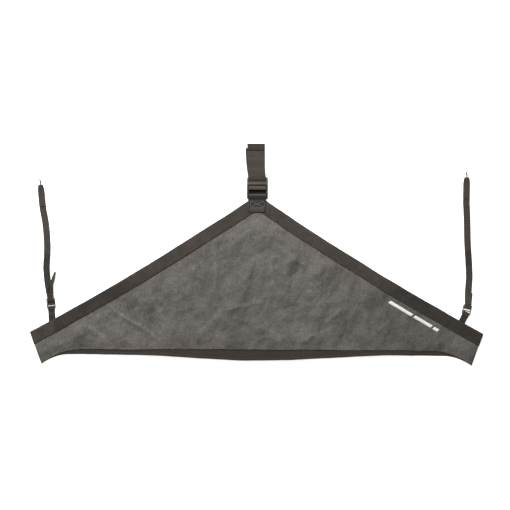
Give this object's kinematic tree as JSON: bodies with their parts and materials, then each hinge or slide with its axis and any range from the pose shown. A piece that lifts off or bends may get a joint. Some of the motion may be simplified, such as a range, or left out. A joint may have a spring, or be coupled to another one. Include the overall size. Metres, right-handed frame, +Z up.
{
  "type": "strap-on fabric cover",
  "caption": "Wide triangular canvas cover panel with webbing edges, a buckled loop strap at the apex and a short buckled strap with a wire hook at each end, lying flat.",
  "frame": {"origin": "middle of the footprint, on the surface the cover lies on", "axes": "+X across the cover to its right end, +Y towards the apex strap, +Z up, out of the canvas face"},
  "size_m": [1.3586, 0.6616, 0.0204],
  "materials": {
    "canvas": "heavy waxed canvas, matt",
    "lining": "plain backing cloth, matt",
    "flap": "dark close-woven cloth, matt",
    "webbing": "woven nylon webbing, slight sheen",
    "plastic": "moulded acetal, satin",
    "wire": "bright zinc-plated round wire"
  },
  "bodies": {
    "panel": {"front_canvas": "canvas", "back_lining": "lining", "lower_flap": "flap", "flap_binding": "flap", "left_edge_band": "webbing", "right_edge_band": "webbing", "center_tab": "webbing", "center_strap_anchor": "webbing", "left_tab": "webbing", "right_tab": "webbing"},
    "center_buckle": {"center_buckle": "plastic", "center_strap_wrap": "webbing"},
    "center_loop": {"center_strap_loop": "webbing"},
    "center_tail": {"center_strap_tail": "webbing"},
    "left_buckle": {"left_buckle": "plastic", "left_strap_wrap": "webbing"},
    "left_strap": {"left_strap": "webbing", "left_strap_end": "webbing"},
    "left_tail": {"left_strap_tail": "webbing"},
    "left_hook": {"left_hook": "wire"},
    "right_buckle": {"right_buckle": "plastic", "right_strap_wrap": "webbing"},
    "right_strap": {"right_strap": "webbing", "right_strap_end": "webbing"},
    "right_tail": {"right_strap_tail": "webbing"},
    "right_hook": {"right_hook": "wire"}
  },
  "joints": [
    {"name": "center_buckle_lift", "type": "hinge", "parent": "panel", "child": "center_buckle", "pos_m": [0, 0.1747, 0.0048], "axis": [1, 0, 0], "range_deg": [0, 90], "deforming": ["center_tab", "center_strap_anchor"]},
    {"name": "center_tail_slide", "type": "slide", "parent": "center_buckle", "child": "center_tail", "axis": [0, 1, 0], "range_m": [-0.05, 0.08], "deforming": ["center_strap_tail"]},
    {"name": "center_loop_slide", "type": "slide", "parent": "center_buckle", "child": "center_loop", "axis": [0, 1, 0], "range_m": [-0.04, 0.025], "deforming": ["center_strap_loop"]},
    {"name": "left_buckle_lift", "type": "hinge", "parent": "panel", "child": "left_buckle", "pos_m": [-0.61483, -0.16283, 0.0028], "axis": [0.9945, 0.1045, 0], "range_deg": [0, 90], "deforming": ["left_tab"]},
    {"name": "left_strap_slide", "type": "slide", "parent": "left_buckle", "child": "left_strap", "axis": [-0.0868, 0.9962, 0], "range_m": [-0.03, 0.03], "deforming": ["left_strap"]},
    {"name": "left_tail_slide", "type": "slide", "parent": "left_buckle", "child": "left_tail", "axis": [-0.1045, 0.9945, 0], "range_m": [-0.03, 0.03], "deforming": ["left_strap_tail"]},
    {"name": "left_hook_swing", "type": "hinge", "parent": "left_strap", "child": "left_hook", "pos_m": [-0.6489, 0.2024, 0.0028], "axis": [0.9952, 0.0976, 0], "range_deg": [0, 90]},
    {"name": "right_buckle_lift", "type": "hinge", "parent": "panel", "child": "right_buckle", "pos_m": [0.62568, -0.17651, 0.0039], "axis": [0.9781, -0.2079, 0], "range_deg": [0, 90], "deforming": ["right_tab"]},
    {"name": "right_strap_slide", "type": "slide", "parent": "right_buckle", "child": "right_strap", "axis": [0, 1, 0], "range_m": [-0.03, 0.03], "deforming": ["right_strap"]},
    {"name": "right_tail_slide", "type": "slide", "parent": "right_buckle", "child": "right_tail", "axis": [0.2079, 0.9781, 0], "range_m": [-0.03, 0.03], "deforming": ["right_strap_tail"]},
    {"name": "right_hook_swing", "type": "hinge", "parent": "right_strap", "child": "right_hook", "pos_m": [0.6267, 0.2304, 0.0028], "axis": [0.9999, -0.0105, 0], "range_deg": [0, 90]}
  ],
  "couplings": [
    {"joint": "center_loop_slide", "follows": "center_tail_slide", "ratio": -0.5},
    {"joint": "left_tail_slide", "follows": "left_strap_slide", "ratio": -1},
    {"joint": "right_tail_slide", "follows": "right_strap_slide", "ratio": -1}
  ]
}
